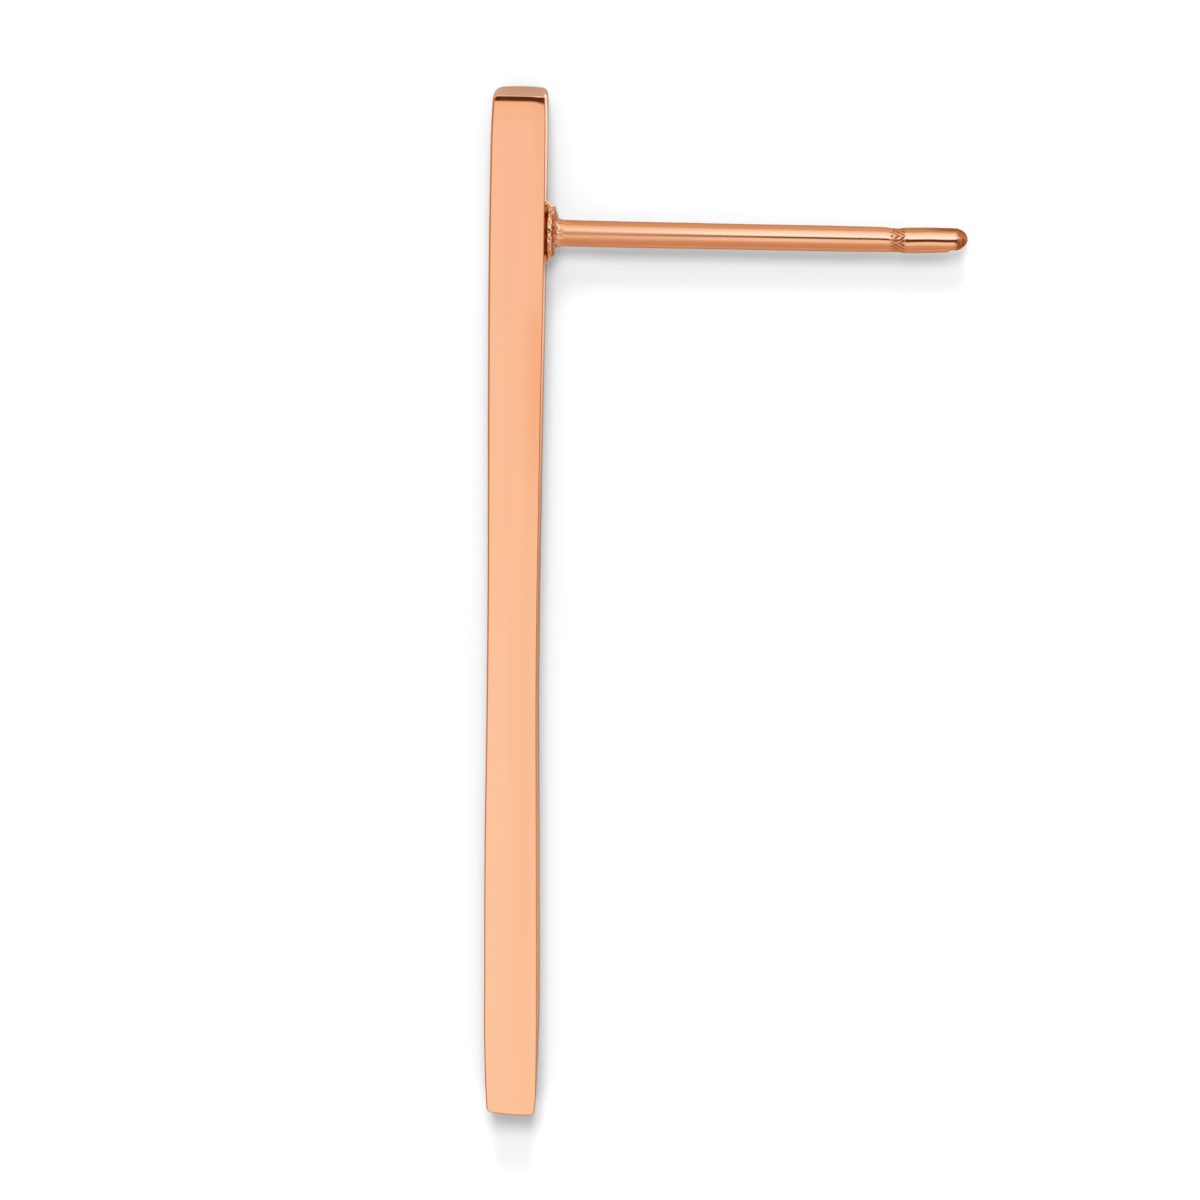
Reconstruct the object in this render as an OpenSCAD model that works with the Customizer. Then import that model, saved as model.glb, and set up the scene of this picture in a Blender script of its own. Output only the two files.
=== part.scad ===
// Bar earring: a straight square-edged bar with an ear post soldered to its back.
// It lies on one of its side faces, as the stud rests by itself. All sizes are in millimetres.
// X points along the post, away from the bar's back face.
// Y runs along the bar, towards the end that is nearer the post.
// Z goes up from the surface that the bar lies on, across the bar's width.

/* [Bar] */
// Length of the bar, end to end
bar_l = 27; // [18:0.5:40]
// Width of the bar's front face
bar_w = 1.6; // [1.5:0.05:3]
// Thickness of the bar, front face to back face
bar_t = 1.42; // [1.2:0.02:2.6]
// Radius of the long edges
edge_r = 0.08; // [0.04:0.01:0.2]
// Radius of the corner between the top end and the front face
front_corner_r = 0.24; // [0.1:0.02:0.5]
// Radius of the other three end corners, seen from the side
end_corner_r = 0.12; // [0.04:0.02:0.4]
// Radius of the front face's corners
face_corner_r = 0.1; // [0.04:0.02:0.3]

/* [Post] */
// Length of the post, from the bar's back face to the tip
post_l = 10.9; // [9:0.1:13]
// Diameter of the post
post_d = 0.67; // [0.6:0.01:0.8]
// Distance from the bar's top end to the post's axis
post_drop = 3.65; // [1.5:0.05:8]
// How deep the post is let into the bar
post_seat = 0.3; // [0.1:0.05:0.6]
// Length of the pointed nose
nose_l = 0.3; // [0.2:0.01:0.4]
// Diameter of the nose's blunt end
nose_d = 0.16; // [0.1:0.02:0.4]

/* [Ear nut groove] */
// Distance from the tip to the middle of the groove
groove_back = 1.8; // [1.2:0.1:3]
// Length of the groove along the post
groove_l = 0.56; // [0.3:0.02:0.8]
// Diameter at the bottom of the groove
groove_d = 0.59; // [0.5:0.01:0.59]

/* [Solder joint] */
// Diameter of the solder bead
bead_d = 1.3; // [1.2:0.02:1.4]
// Height of the solder bead above the bar's back face
bead_h = 0.25; // [0.15:0.01:0.4]
// Radius of the bead's rounded shoulder
bead_r = 0.11; // [0.05:0.01:0.14]
// Diameter of the thin foot where the solder has run out over the back face
foot_d = 1.42; // [1.3:0.02:1.44]
// Height of the thin foot
foot_h = 0.06; // [0.03:0.01:0.1]
// Radius of the hollow between the bead and the post
neck_r = 0.12; // [0.05:0.01:0.15]

/* [Hidden] */
$fn = 96;

// Colours: the same rose gold throughout, a little darker where it was soldered
gold = [0.93, 0.68, 0.53];
solder_gold = [0.86, 0.60, 0.46];

// Where the bar's faces lie
front_x = -bar_t / 2;
back_x = bar_t / 2;
top_y = post_drop;
bottom_y = post_drop - bar_l;

// The post's axis runs at half the bar's width
axis_z = bar_w / 2;

// The groove is a shallow arc in the wire's side, of this depth and radius
groove_depth = (post_d - groove_d) / 2;
groove_r = (pow(groove_l / 2, 2) + pow(groove_depth, 2)) / (2 * groove_depth);

// The neck's hollow, kept within the flat top of the bead
neck_hollow_r = min(neck_r, bead_d / 2 - bead_r - post_d / 2);

// How far a cutting or crossing shape runs past what it meets
overrun = 0.5;

// The corner of a square that a quarter circle of this radius leaves over
module corner_waste(r) {
    difference() {
        translate([-overrun, -overrun])
            square(r + overrun);
        translate([r, r])
            circle(r);
    }
}

// A rectangle from the origin. The radii go round from the corner at the origin, anticlockwise.
module rounded_rectangle(length, height, radii) {
    difference() {
        square([length, height]);
        corner_waste(radii[0]);
        translate([length, 0])
            rotate(90)
                corner_waste(radii[1]);
        translate([length, height])
            rotate(180)
                corner_waste(radii[2]);
        translate([0, height])
            rotate(270)
                corner_waste(radii[3]);
    }
}

// The bar seen from above: front face on the left, top end away from the viewer
module side_outline() {
    translate([front_x, bottom_y])
        rounded_rectangle(bar_t, bar_l, [end_corner_r, end_corner_r, end_corner_r, front_corner_r]);
}

// The bar's cross-section, with its four long edges rounded
module cross_section() {
    translate([front_x, 0])
        rounded_rectangle(bar_t, bar_w, [for (corner = [0:3]) edge_r]);
}

// The bar's front face, with its four corners rounded
module front_outline() {
    translate([bottom_y, 0])
        rounded_rectangle(bar_l, bar_w, [for (corner = [0:3]) face_corner_r]);
}

// The straight bar: what its three outlines, each run through it, have in common
module bar() {
    intersection() {
        translate([0, 0, -overrun])
            linear_extrude(bar_w + 2 * overrun)
                side_outline();
        translate([0, top_y + overrun, 0])
            rotate([90, 0, 0])
                linear_extrude(bar_l + 2 * overrun)
                    cross_section();
        translate([front_x - overrun, 0, 0])
            rotate([90, 0, 90])
                linear_extrude(bar_t + 2 * overrun)
                    front_outline();
    }
}

// Turns a half profile, drawn as radius and height, about the post's axis. Height 0 is the back face.
module about_post_axis() {
    translate([back_x, 0, axis_z])
        rotate([0, 90, 0])
            rotate_extrude()
                children();
}

// The post: a wire with a groove for the ear nut and a blunt pointed nose
module post() {
    about_post_axis()
        difference() {
            polygon([
                [0, -post_seat],
                [post_d / 2, -post_seat],
                [post_d / 2, post_l - nose_l],
                [nose_d / 2, post_l],
                [0, post_l]
            ]);
            translate([groove_d / 2 + groove_r, post_l - groove_back])
                circle(groove_r);
        }
}

// The solder bead round the root of the post, with its thin foot and its hollow neck
module solder_joint() {
    about_post_axis()
        difference() {
            union() {
                translate([0, -post_seat])
                    square([bead_d / 2 - bead_r, post_seat + bead_h]);
                translate([0, -post_seat])
                    square([bead_d / 2, post_seat + bead_h - bead_r]);
                translate([bead_d / 2 - bead_r, bead_h - bead_r])
                    circle(bead_r);
                translate([0, -post_seat])
                    square([foot_d / 2, post_seat + foot_h]);
                square([post_d / 2 + neck_hollow_r, bead_h + neck_hollow_r]);
            }
            translate([post_d / 2 + neck_hollow_r, bead_h + neck_hollow_r])
                circle(neck_hollow_r);
        }
}

// Bar, post and solder are one piece of metal
module bar_with_post() {
    color(gold)
        bar();
    color(gold)
        post();
    color(solder_gold)
        solder_joint();
}

bar_with_post();
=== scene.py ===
# Looks of the rose gold bar earring: a polished square bar lying on its side, with its soldered post.
# Lengths are in millimetres up to the meshes, which are in metres like the frame.
# +X runs along the post, +Y towards the bar's top end, +Z up from the floor.
# Angles round the post are in radians from straight up towards +Y, unless they say degrees.
# A pair that gives where a change begins and ends is named after the change.
import math

import bmesh
import bpy
import numpy as np
from mathutils import Matrix, Vector, noise


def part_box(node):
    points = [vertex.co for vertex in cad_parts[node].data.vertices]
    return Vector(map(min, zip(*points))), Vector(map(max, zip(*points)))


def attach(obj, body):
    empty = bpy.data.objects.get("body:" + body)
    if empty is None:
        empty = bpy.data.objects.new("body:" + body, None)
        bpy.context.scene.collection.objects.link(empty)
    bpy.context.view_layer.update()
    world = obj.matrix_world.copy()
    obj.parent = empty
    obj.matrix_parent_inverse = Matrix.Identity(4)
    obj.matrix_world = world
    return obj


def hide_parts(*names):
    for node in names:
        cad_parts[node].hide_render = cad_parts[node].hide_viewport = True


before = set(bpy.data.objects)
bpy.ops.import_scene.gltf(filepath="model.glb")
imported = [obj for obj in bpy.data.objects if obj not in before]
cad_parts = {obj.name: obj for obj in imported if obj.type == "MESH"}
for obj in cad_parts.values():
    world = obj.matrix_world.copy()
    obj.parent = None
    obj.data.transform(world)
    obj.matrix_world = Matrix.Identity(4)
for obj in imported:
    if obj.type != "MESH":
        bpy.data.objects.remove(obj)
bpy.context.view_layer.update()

# The noise that warps the solder's nuggets starts from this seed, so that every run gives the same skin
NOISE_SEED = 2
noise.seed_set(NOISE_SEED)

MM = 0.001
NODE = "bar_with_post"
BODY = "root"

# Main sizes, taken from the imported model
low, high = (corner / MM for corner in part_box(NODE))
TOP_Y = high.y
BOTTOM_Y = low.y
BAR_WIDTH = high.z
FRONT_X = low.x
BACK_X = -low.x
TIP_X = high.x
AXIS_Z = BAR_WIDTH / 2

# Camera: where the picture's middle lies, and how the camera leans from straight above
AIM = Vector((2.209, -9.697, AXIS_Z))
CAMERA_DISTANCE = 350.0
LEAN_TO_TOP = math.radians(13.072)
LEAN_TO_POST = math.radians(3.056)
CAMERA_ROLL = math.radians(0.464)
PICTURE_WIDTH = 31.13
SENSOR = 36.0
NEAR_CLIP = 10.0

# Metal: its two main tones, those that the painted marks bring in (a painted warm cast, painted light and
# painted shade), and its edges' tint
GOLD = (0.955, 0.53, 0.32)
GOLD_DEEP = (0.93, 0.47, 0.26)
GOLD_WARM_CAST = (0.93, 0.42, 0.21)
GOLD_PAINTED_LIGHT = (1.0, 0.71, 0.52)
SHADE_COLOR = (0.32, 0.076, 0.007)
SHADE_ROUGHNESS = 0.20
EDGE_TINT = (1.0, 0.72, 0.55)
MARKS = ("painted_warm_cast", "painted_shade", "blur", "painted_light")


def curve_through(points):
    """A smooth function through a few (place, value) points."""
    x = np.array([p[0] for p in points], float)
    v = np.array([p[1] for p in points], float)
    slope = np.gradient(v, x)

    def value(at):
        at = np.clip(at, x[0], x[-1])
        k = np.clip(np.searchsorted(x, at, side="right") - 1, 0, len(x) - 2)
        span = x[k + 1] - x[k]
        t = (at - x[k]) / span
        return (
            (2 * t**3 - 3 * t**2 + 1) * v[k]
            + (t**3 - 2 * t**2 + t) * span * slope[k]
            + (-2 * t**3 + 3 * t**2) * v[k + 1]
            + (t**3 - t**2) * span * slope[k + 1]
        )

    return value


def smooth_step(begin, end, value):
    """0 below begin, 1 above end and a soft rise between them."""
    t = np.clip((value - begin) / (end - begin), 0, 1)
    return t * t * (3 - 2 * t)


def band(value, rise, fall):
    """0 before the rise, 1 after it and 0 again after the fall."""
    return smooth_step(*rise, value) * (1 - smooth_step(*fall, value))


def bell(offset, width):
    """1 where the offset is 0, and almost 0 from two widths on."""
    return np.exp(-((offset / width) ** 2))


def full_turn(count):
    """This many angles, evenly round a full turn."""
    return np.linspace(0, 2 * math.pi, count, endpoint=False)


def signed_angle(angle):
    """The same angle, put between minus and plus half a turn."""
    return (angle + math.pi) % (2 * math.pi) - math.pi


def closed_skin(name, rings, material, marks):
    """A closed, smooth mesh over rings of equally many points, in millimetres, with a pole at each end.

    marks holds values for the material, by name: one for each point of each ring. Those left out are 0.
    """
    rings = np.asarray(rings, float) * MM
    count, around = rings.shape[:2]
    points = rings.reshape(-1, 3).tolist()
    first_pole = len(points)
    points.append(rings[0].mean(0).tolist())
    points.append(rings[-1].mean(0).tolist())
    faces = []
    for i in range(count - 1):
        for j in range(around):
            k = (j + 1) % around
            a = i * around
            b = a + around
            faces.append((a + j, a + k, b + k, b + j))
    last = (count - 1) * around
    for j in range(around):
        k = (j + 1) % around
        faces.append((first_pole, k, j))
        faces.append((first_pole + 1, last + j, last + k))
    mesh = bpy.data.meshes.new(name)
    mesh.from_pydata(points, [], faces)
    work = bmesh.new()
    work.from_mesh(mesh)
    bmesh.ops.recalc_face_normals(work, faces=work.faces)
    work.to_mesh(mesh)
    work.free()
    mesh.polygons.foreach_set("use_smooth", [True] * len(mesh.polygons))
    for mark, values in marks.items():
        values = np.asarray(values, float)
        layer = mesh.attributes.new(mark, "FLOAT", "POINT")
        layer.data.foreach_set("value", [*values.ravel(), values[0].mean(), values[-1].mean()])
    mesh.materials.append(material)
    piece = bpy.data.objects.new(name, mesh)
    bpy.context.scene.collection.objects.link(piece)
    return piece


# Bar: how far its front and back faces lie inside straight ones, as (Y, inset)
FRONT_WAVE = [
    (BOTTOM_Y, 0.100),
    (-22.7, 0.064),
    (-21.6, 0.026),
    (-19.5, 0.012),
    (-16.2, 0.001),
    (-13.0, 0.025),
    (-9.5, 0.037),
    (-4.5, 0.016),
    (-0.3, 0.014),
    (1.8, 0.036),
    (2.9, 0.058),
    (TOP_Y, 0.104),
]
BACK_WAVE = [
    (BOTTOM_Y, 0.104),
    (-23.1, 0.070),
    (-22.4, 0.045),
    (-21.6, 0.038),
    (-20.2, 0.042),
    (-17.6, 0.061),
    (-14.9, 0.085),
    (-12.2, 0.108),
    (-9.5, 0.102),
    (-6.9, 0.076),
    (-4.2, 0.046),
    (-1.6, 0.007),
    (1.0, -0.016),
    (2.9, -0.022),
    (TOP_Y, -0.012),
]
front_wave = curve_through(FRONT_WAVE)
back_wave = curve_through(BACK_WAVE)
# Radius of the long edges: at the front face as (Y, radius), and at the back face
FRONT_EDGE_R = [
    (BOTTOM_Y, 0.050),
    (-17.0, 0.055),
    (-9.0, 0.070),
    (-2.0, 0.078),
    (TOP_Y, 0.080),
]
front_edge_r = curve_through(FRONT_EDGE_R)
BACK_EDGE_R = 0.042
# Radius of the top end's front and back corners: at the lower side face, on which the bar rests, and at the
# upper one
TOP_FRONT_LOW_R = 0.24
TOP_FRONT_HIGH_R = 0.06
TOP_BACK_LOW_R = 0.17
TOP_BACK_HIGH_R = 0.06
# Radius of the bottom end's front and back corners, and of the ends' plain edges towards the side faces
BOTTOM_FRONT_R = 0.13
BOTTOM_BACK_R = 0.11
END_EDGE_R = 0.04
# The top end's upper edge is rolled off by polishing: its small edge radius, the roll's radius and how far
# the roll turns
ROLL_EDGE_R = 0.022
ROLL_R = 1.18
ROLL_ANGLE = math.radians(15)
# The polishing went deeper at the back corner: what is added to the roll's radius there, and over which
# places across the bar, from -1 at the front face to 1 at the back face
ROLL_R_MORE = 0.60
ROLL_MORE = (0.5, 0.95)
# How far along the bar the shape of each end reaches
END_REACH = 1.2
# The top end stands proud by its rise, leans out towards the upper side face, is crowned lower down, and
# falls off at its upper back corner
TOP_RISE = 0.030
TOP_LEAN = 0.045
TOP_CROWN = 0.026
TOP_BACK_FALL = 0.010
TOP_BACK_POWER = 8
# Near the top end the front face leans out towards the floor, over this length
TOP_FRONT_LEAN = 0.070
TOP_FRONT_REACH = 0.9
# The bottom end stands proud in its middle, falls off towards its front and back, and is longer at the back
BOTTOM_RISE = 0.026
BOTTOM_CROWN = 0.026
BOTTOM_SKEW = 0.035
# How far the back face leans out towards its upper edge
BACK_LEAN = 0.020
# How far it is filed in at its lower edge at the bottom end, and the distances from that end between which
# this fades
BOTTOM_TAPER = 0.055
TAPER_FADE = (0.2, 2.9)
# How far the side faces fall off towards their long edges, and what counts as a side face, by the height's
# share of half the bar's width
SIDE_CROWN = 0.004
SIDE_FACE = (0.8, 0.95)
# How far the end faces are domed, and the sizes of the rings that close them
END_DOME = 0.006
END_RINGS = (0.985, 0.95, 0.88, 0.76, 0.6, 0.42, 0.22, 0.06)
# How finely the bar is divided: each end zone into steps that get smaller towards the end, then the middle
END_ZONE = 0.8
END_STEPS = 52
END_CROWDING = 2.4
MIDDLE_STEPS = 96
ARC_STEPS = 12
FLAT_STEPS = 16
# Painted warm cast on the bar, a painted shade that deepens its reflections: across it towards its back face,
# along it below the post, and under its top end
WARM_ACROSS = (0.0, 0.6)
WARM_RISE = (-8.5, -4.5)
WARM_FALL = (-2.6, -1.2)
WARM_CAST_SHARE = 0.75
WARM_UNDER_TOP = (2.7, 3.5)
WARM_CAST_TOP_SHARE = 0.28


def front_line(y):
    """Where the bar's front face lies in X."""
    return FRONT_X + front_wave(y)


def back_line(y):
    """Where the bar's back face lies in X."""
    return BACK_X - back_wave(y)


def corner_inset(distance, radius):
    """How far a rounded end corner lies inside the face, at this distance from the end."""
    s = np.clip(radius - distance, 0, radius)
    return radius - np.sqrt(radius**2 - s**2)


def rolled_inset(distance, roll_r):
    """The same for the rolled-off edge of the top end: a wide arc, then the small edge radius."""
    arc_end = ROLL_EDGE_R * (1 - math.sin(ROLL_ANGLE))
    if distance > arc_end:
        roll_start = arc_end + roll_r * math.sin(ROLL_ANGLE)
        s = np.clip(roll_start - distance, 0, roll_start)
        return roll_r - np.sqrt(np.maximum(roll_r**2 - s**2, 0))
    depth = roll_r * (1 - math.cos(ROLL_ANGLE)) + ROLL_EDGE_R * math.cos(ROLL_ANGLE)
    return depth - math.sqrt(max(ROLL_EDGE_R**2 - (ROLL_EDGE_R - distance) ** 2, 0))


def rounded_section(left, right, bottom, top, left_r, right_r):
    """Points round a rounded rectangle in X and Z, with the same number of points on each stretch."""
    points = []
    corners = [
        (right - right_r, top - right_r, 0, right_r),
        (left + left_r, top - left_r, 90, left_r),
        (left + left_r, bottom + left_r, 180, left_r),
        (right - right_r, bottom + right_r, 270, right_r),
    ]
    for number, (cx, cz, start, radius) in enumerate(corners):
        for step in range(ARC_STEPS):
            angle = math.radians(start + 90 * step / ARC_STEPS)
            points.append((cx + radius * math.cos(angle), cz + radius * math.sin(angle)))
        nx, nz, _, next_r = corners[(number + 1) % 4]
        angle = math.radians(start + 90)
        x0 = cx + radius * math.cos(angle)
        z0 = cz + radius * math.sin(angle)
        x1 = nx + next_r * math.cos(angle)
        z1 = nz + next_r * math.sin(angle)
        for step in range(FLAT_STEPS):
            t = (1 - math.cos(math.pi * step / FLAT_STEPS)) / 2
            points.append((x0 + (x1 - x0) * t, z0 + (z1 - z0) * t))
    return np.array(points)


def bar_section(y):
    """The bar's section at this place along it, as points in X, Y and Z."""
    from_top = TOP_Y - y
    from_bottom = y - BOTTOM_Y
    front_inset = corner_inset(from_top, TOP_FRONT_HIGH_R)
    back_inset = corner_inset(from_top, TOP_BACK_HIGH_R)
    left = front_line(y) + front_inset + corner_inset(from_bottom, BOTTOM_FRONT_R)
    right = back_line(y) - back_inset - corner_inset(from_bottom, BOTTOM_BACK_R)
    bottom_inset = corner_inset(from_bottom, END_EDGE_R)
    roll = rolled_inset(from_top, ROLL_R)
    low_side = corner_inset(from_top, END_EDGE_R) + bottom_inset
    high_side = BAR_WIDTH - roll - bottom_inset
    section = rounded_section(left, right, low_side, high_side, front_edge_r(y), BACK_EDGE_R)
    x = section[:, 0]
    z = section[:, 1]
    # Places across the bar, from -1 at the front face to 1 at the back face, and up it
    across = (x - (left + right) / 2) / (right - left) * 2
    up = (z - AXIS_Z) / AXIS_Z
    share_up = z / BAR_WIDTH
    share_down = 1 - share_up
    to_front = np.clip(-across, 0, 1)
    to_back = np.clip(across, 0, 1)

    front_in = corner_inset(from_top, TOP_FRONT_LOW_R) - front_inset
    front_in -= TOP_FRONT_LEAN * (1 - smooth_step(0, TOP_FRONT_REACH, from_top))
    back_in = corner_inset(from_top, TOP_BACK_LOW_R) - back_inset
    back_in += BOTTOM_TAPER * (1 - smooth_step(*TAPER_FADE, from_bottom))
    faces = front_in * share_down * to_front - back_in * share_down * to_back + BACK_LEAN * share_up * to_back

    corner_roll = rolled_inset(from_top, ROLL_R + ROLL_R_MORE * smooth_step(*ROLL_MORE, across)) - roll
    side_crown = SIDE_CROWN * across**2 * np.sign(up) * smooth_step(*SIDE_FACE, np.abs(up))
    sides = -side_crown - corner_roll * np.clip(up, 0, 1)

    top_end = TOP_RISE + TOP_LEAN * share_up - TOP_CROWN * share_down * across**2
    top_end -= TOP_BACK_FALL * share_up * to_back**TOP_BACK_POWER
    bottom_end = BOTTOM_CROWN * across**2 - BOTTOM_SKEW * across - BOTTOM_RISE
    ends = top_end * (1 - smooth_step(0, END_REACH, from_top))
    ends += bottom_end * (1 - smooth_step(0, END_REACH, from_bottom))
    return np.stack([x + faces, y + ends, z + sides], axis=1)


def end_face(rim, dome):
    """Rings that close an end, from its rim inwards, with a slightly domed face."""
    middle = rim.mean(0)
    rings = []
    for share in END_RINGS:
        ring = middle + (rim - middle) * share
        ring[:, 1] += dome * (1 - share**2)
        rings.append(ring)
    return rings


def make_bar(material):
    length = TOP_Y - BOTTOM_Y
    near_end = [END_ZONE * (k / END_STEPS) ** END_CROWDING for k in range(END_STEPS + 1)]
    places = [BOTTOM_Y + s for s in near_end]
    places += [BOTTOM_Y + s for s in np.linspace(END_ZONE, length - END_ZONE, MIDDLE_STEPS)[1:-1]]
    places += [TOP_Y - s for s in reversed(near_end)]
    rings = [bar_section(y) for y in places]
    bottom_face = end_face(rings[0], -END_DOME)
    top_face = end_face(rings[-1], END_DOME)
    skin = np.array(bottom_face[::-1] + rings + top_face)
    # Painted warm cast: a painted shade that deepens the bar's reflections below the post and under its top
    # end
    below_post = smooth_step(*WARM_ACROSS, skin[..., 0]) * band(skin[..., 1], WARM_RISE, WARM_FALL)
    under_top = smooth_step(*WARM_UNDER_TOP, skin[..., 1])
    painted_warm_cast = np.maximum(WARM_CAST_SHARE * below_post, WARM_CAST_TOP_SHARE * under_top)
    return closed_skin("bar", skin, material, {"painted_warm_cast": painted_warm_cast})


# Post: how far it goes on inside the bar, and its radius as (distance from the tip, radius)
POST_SEAT = 0.25
POST_LENGTH = TIP_X - BACK_X + POST_SEAT
POST_LINE = [
    (0.000, 0.030),
    (0.006, 0.062),
    (0.020, 0.095),
    (0.045, 0.158),
    (0.070, 0.190),
    (0.097, 0.217),
    (0.125, 0.241),
    (0.160, 0.264),
    (0.200, 0.285),
    (0.240, 0.298),
    (0.303, 0.309),
    (0.380, 0.315),
    (0.458, 0.318),
    (0.700, 0.319),
    (0.970, 0.320),
    (1.230, 0.322),
    (1.440, 0.324),
    (1.600, 0.319),
    (1.660, 0.308),
    (1.700, 0.304),
    (1.850, 0.299),
    (1.930, 0.303),
    (2.000, 0.310),
    (2.100, 0.319),
    (2.300, 0.322),
    (6.000, 0.333),
    (10.400, 0.341),
    (11.300, 0.341),
]
# The wire isn't quite straight: how far its middle lies from the axis towards +Y, by distance from the tip
POST_BEND = [
    (0.000, 0.016),
    (0.050, 0.014),
    (0.150, 0.004),
    (0.300, -0.008),
    (1.000, -0.012),
    (1.450, -0.026),
    (1.700, -0.031),
    (1.850, -0.030),
    (2.100, -0.020),
    (3.000, -0.018),
    (7.000, -0.016),
    (9.600, -0.012),
    (10.500, -0.004),
    (11.300, 0.000),
]
# The nose is filed flatter on the side towards the bar's bottom end: by this share of its radius
NOSE_FLAT = [
    (0.000, 0.18),
    (0.100, 0.19),
    (0.230, 0.15),
    (0.300, 0.20),
    (0.430, 0.22),
    (0.460, 0.20),
    (0.480, 0.13),
    (0.510, 0.085),
    (0.560, 0.070),
    (0.620, 0.065),
    (0.700, 0.05),
    (0.800, 0.02),
    (0.900, 0.00),
    (1.000, 0.00),
    (11.300, 0.00),
]
post_line = curve_through(POST_LINE)
post_bend = curve_through(POST_BEND)
nose_flat = curve_through(NOSE_FLAT)
# How finely the post is divided: going round, in the nose with steps that get smaller towards the tip, and
# beyond it by (begins, ends, rings)
POST_AROUND = 360
NOSE_ZONE = 0.6
NOSE_RINGS = 60
NOSE_CROWDING = 1.5
POST_ZONES = [
    (0.63, 1.5, 16),
    (1.51, 2.06, 92),
    (2.12, POST_LENGTH, 64),
]
# Where the cone and the tip end, and where the plain wire and the stretch near the solder begin, by distance
# from the tip
CONE_END = (0.22, 0.34)
TIP_END = (1.5, 1.9)
WIRE_BEGIN = (1.9, 2.4)
SOLDER_BEGIN = (4.0, 10.5)
# Ear nut groove: its middle, half its length, and which share of that it fills before it fades out
GROOVE_MIDDLE = 1.77
GROOVE_HALF = 0.17
GROOVE_FADE = (0.75, 1.05)
# Its knurling: the depth of the strokes, how many go round, how far the metal between them is raised, as a
# share of their depth, and how far some of them are turned against the others
KNURL_DEPTH = 0.024
KNURL_COUNT = 20
KNURL_RAISED = 0.3
KNURL_TURN = 0.8
# How unevenly the strokes are spaced, as (waves in a full turn, phase, height)
KNURL_WAVES = [
    (3, 1.0, 0.50),
    (7, 0.0, 0.35),
]
# The crossing cuts on the tip's side of the groove: their middle by distance from the tip, half their length,
# which share of that they fill before they fade out, and their slant, width and strength
CUTS_AT = 1.735
CUTS_HALF = 0.130
CUTS_FADE = (0.80, 1.05)
CUT_SLANT = 2.4
CUT_WIDTH = 0.62
CUT_STRENGTH = 2.4
# Cuts that slant one way give way to those that slant the other way so many times in a full turn
CUT_CHANGES = 5
CUT_CHANGE_PHASE = 0.6
CUT_CHANGE = (-0.7, 0.5)
# The row of small dents on the groove's other side
DENTS_AT = 1.940
DENTS_HALF = 0.035
DENT_WIDTH = 0.80
DENT_STRENGTH = 1.9
DENT_SHARE = 0.7
# Nose: its facets and how sharp they are, how far it swells there, the angle of one edge between two facets,
# and how far from the tip they end
NOSE_FACETS = 6
NOSE_FACET_SHARE = 0.9
NOSE_SWELL = 1.05
NOSE_EDGE_AT = 0.40
NOSE_END = (0.18, 0.264)
# The tip is a slanting oval: this share is added to its radius halfway between straight up and +Y, and taken
# off halfway between straight up and -Y
TIP_SKEW = -0.036
# Where going round the nose's flat side begins, by how far a place points to the bar's bottom end
FLAT_SIDE = (0.35, 0.85)
# The tip is a shade flatter along one line: its angle, depth as a share of the radius, and width
TIP_FLAT_AT = 0.13
TIP_FLAT_DEPTH = 0.010
TIP_FLAT_WIDTH = 0.20
# Painted shade in the cuts and, unevenly, along the groove's shoulder
CUT_SHADE = 0.95
SHOULDER_SHADE = 0.55
SHOULDER_AT = 1.900
SHOULDER_HALF = 0.045
SHOULDER_WAVES = 5
SHOULDER_PHASE = 2.0
SHOULDER_UNEVEN = 0.35
# Painted shade down both sides of the tip, which begin where the angle's sine says, with more of it in the
# groove and towards the nose
RIM = (0.78, 0.96)
RIM_SHADE = 0.22
RIM_SHADE_MORE = 0.55
RIM_SHADE_FADE = (0.4, 1.3)
# Painted shade over the cone, with more of it where the cone points to the bar's bottom end, and less on one
# edge between facets, which has less of the painted warm cast too: a painted glint
CONE_SHADE = 0.50
CONE_SHADE_BELOW = 0.30
CONE_BELOW = (0.05, 0.35)
FACET_EDGE_WIDTH = 0.14
FACET_GLINT_LESS_SHADE = 0.8
FACET_GLINT_LESS_CAST = 0.6
# Painted dark specks at the two ends of the tip's dark reflected line, as (distance from the tip, angle,
# length, width)
SPECKS = [
    (0.272, 0.03, 0.036, 0.13),
    (1.545, 0.17, 0.036, 0.12),
]
SPECK_STRENGTH = 1.8
# Painted warm cast: tinting the lit side's highlight near the solder, and as painted shade in the groove and
# down both sides of the tip. The cone has it all over.
LIT_WARM_CAST = 0.95
GROOVE_WARM_CAST = 0.8
RIM_WARM_CAST = 0.6
# Blur on the plain wire, with more of it near the solder and along the dark line there, and in the groove
WIRE_BLUR = 0.07
SOLDER_BLUR = 0.11
GROOVE_BLUR = 0.03
# The lit side and the dark line beside it, which run from the wire onto the solder's neck
LIT_AT = 0.45
LIT_SIDE = (0.75, 0.97)
DARK_LINE_AT = 0.20
DARK_LINE_WIDTH = 0.20


def ring_round_post(x, radius, angle, shift=0.0):
    """A ring of points round the post's axis, shifted along Y."""
    return np.stack([
        np.full(len(angle), x),
        radius * np.sin(angle) + shift,
        AXIS_Z + radius * np.cos(angle),
    ], axis=1)


def lit_side(angle):
    return smooth_step(*LIT_SIDE, np.cos(angle - LIT_AT))


def dark_line(angle):
    """How near each place is to the dark line. The angles begin at 0, so the line ends at straight up."""
    return bell(angle - DARK_LINE_AT, DARK_LINE_WIDTH)


def in_groove(distance):
    return 1 - smooth_step(*GROOVE_FADE, abs(distance - GROOVE_MIDDLE) / GROOVE_HALF)


def strokes(phase, width, strength):
    """Short strokes, two for each turn of the phase: deepest in their middles and 0 between them."""
    return np.clip(strength * (1 - np.abs(np.sin(phase)) / width), 0, 1)


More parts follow.
